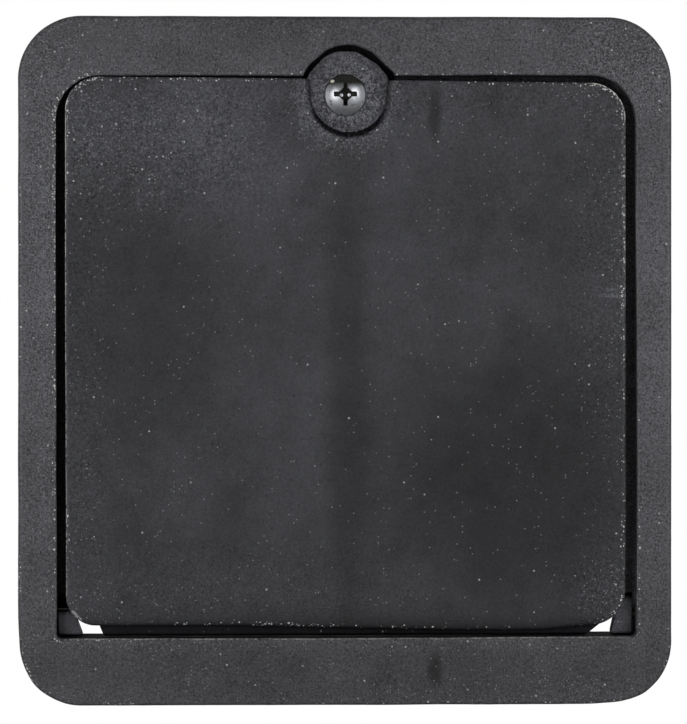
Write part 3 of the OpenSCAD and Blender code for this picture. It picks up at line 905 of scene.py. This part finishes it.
# the last argument is a painted highlight at the head's upper left
screw_steel = steel("screw_zinc", (0.39, 0.40, 0.425), 0.39, 0.62, screw_shade,
                    ((-4.75, SCREW_Z + 4.85, 0.75, 0.6, (0.60, 0.54, 0.45)),))
pin_steel = steel("pin_steel", (0.10, 0.09, 0.08), 0.5, 0.7, lambda p: 0.3)

for piece, material, body, node, slot in (
        (iron_frame, frame_iron, "frame", "frame", "frame_iron"),
        (iron_door, door_iron, "door", "door", "door_iron"),
        (screw, screw_steel, "screw", "latch_screw", "screw_steel")):
    piece.data.materials.clear()
    piece.data.materials.append(material)
    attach(piece, body)
    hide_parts(node)
for node in ("hinge_pin_left", "hinge_pin_right"):
    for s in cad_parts[node].material_slots:
        s.material = pin_steel


# Stage, light and camera
def world_light():
    """White behind the object and for the camera; a dim studio, darker above, on the camera's side."""
    world = bpy.data.worlds.new("studio")
    bpy.context.scene.world = world
    world.use_nodes = True
    t = world.node_tree
    t.nodes.clear()
    new, link = t.nodes.new, t.links.new

    def ramp(value, a, b, to_a, to_b):
        n = new("ShaderNodeMapRange")
        n.interpolation_type = "SMOOTHSTEP"
        link(value, n.inputs["Value"])
        for key, v in (("From Min", a), ("From Max", b), ("To Min", to_a), ("To Max", to_b)):
            n.inputs[key].default_value = v
        return n.outputs["Result"]

    def calc(op, a, b):
        n = new("ShaderNodeMath")
        n.operation = op
        for v, s in ((a, n.inputs[0]), (b, n.inputs[1])):
            if isinstance(v, (int, float)):
                s.default_value = v
            else:
                link(v, s)
        return n.outputs[0]

    way, rays = new("ShaderNodeTexCoord"), new("ShaderNodeLightPath")
    xyz = new("ShaderNodeSeparateXYZ")
    link(way.outputs["Generated"], xyz.inputs[0])
    behind = ramp(xyz.outputs["Y"], -0.05, 0.35, 0.0, 1.0)
    room = calc("ADD", ramp(xyz.outputs["Z"], -0.5, 0.05, 0.20, 0.05),
                ramp(xyz.outputs["Z"], 0.0, 0.4, 0.0, -0.035))
    sees = calc("MAXIMUM", rays.outputs["Is Glossy Ray"], rays.outputs["Is Transmission Ray"])
    shown = calc("MAXIMUM", calc("MULTIPLY", sees, behind), rays.outputs["Is Camera Ray"])
    level = calc("ADD", shown, calc("MULTIPLY", calc("SUBTRACT", 1.0, shown), room))
    back, out = new("ShaderNodeBackground"), new("ShaderNodeOutputWorld")
    back.inputs["Color"].default_value = (1, 1, 1, 1)
    link(level, back.inputs["Strength"])
    link(back.outputs[0], out.inputs["Surface"])


def lamp(name, at, energy):
    """A soft rectangular lamp that points at the object."""
    data = bpy.data.lights.new(name, "AREA")
    data.shape, data.size, data.size_y, data.energy = "RECTANGLE", 0.50, 0.60, energy
    made = place(name, data)
    made.location = at
    made.rotation_euler = (-Vector(at)).to_track_quat("-Z", "Y").to_euler()


world_light()
lamp("softbox_left", (-0.70, -0.66, 0.13), 5.5)
lamp("softbox_right", (0.70, -0.66, 0.26), 5.7)

FLOOR_Z, FLOOR_HALF = -0.36, 3
corners = [(x * FLOOR_HALF, y * FLOOR_HALF, FLOOR_Z) for x, y in ((-1, -1), (1, -1), (1, 1), (-1, 1))]
floor_mesh = bpy.data.meshes.new("floor")
floor_mesh.from_pydata(corners, [], [(0, 1, 2, 3)])
floor = place("floor", floor_mesh)
pale = bpy.data.materials.new("pale_floor")
pale.use_nodes = True
tree = pale.node_tree
shader = tree.nodes["Principled BSDF"]
shader.inputs["Base Color"].default_value = (0.86, 0.86, 0.86, 1)
shader.inputs["Roughness"].default_value = 0.9
glow, mix = tree.nodes.new("ShaderNodeEmission"), tree.nodes.new("ShaderNodeMixShader")
spot, far = tree.nodes.new("ShaderNodeTexCoord"), tree.nodes.new("ShaderNodeVectorMath")
fade = tree.nodes.new("ShaderNodeMapRange")
far.operation = "LENGTH"
tree.links.new(spot.outputs["Object"], far.inputs[0])
tree.links.new(far.outputs["Value"], fade.inputs["Value"])
fade.inputs["From Min"].default_value, fade.inputs["From Max"].default_value = 0.6, 1.6
tree.links.new(fade.outputs["Result"], mix.inputs[0])
tree.links.new(shader.outputs[0], mix.inputs[1])
tree.links.new(glow.outputs[0], mix.inputs[2])
tree.links.new(mix.outputs[0], tree.nodes["Material Output"].inputs["Surface"])
floor_mesh.materials.append(pale)

cam = bpy.data.cameras.new("camera")
cam.sensor_width, cam.lens = 36, 192.55
camera = place("camera", cam)
AIM = Vector((-0.0009, -0.006, -0.0005))
AWAY, TURN = 1.35, math.radians(-2.4)
camera.location = AIM + Vector((math.sin(TURN), -math.cos(TURN), 0)) * AWAY
camera.rotation_euler = (AIM - camera.location).to_track_quat("-Z", "Y").to_euler()
bpy.context.scene.camera = camera
bpy.context.scene.view_settings.view_transform = "Standard"
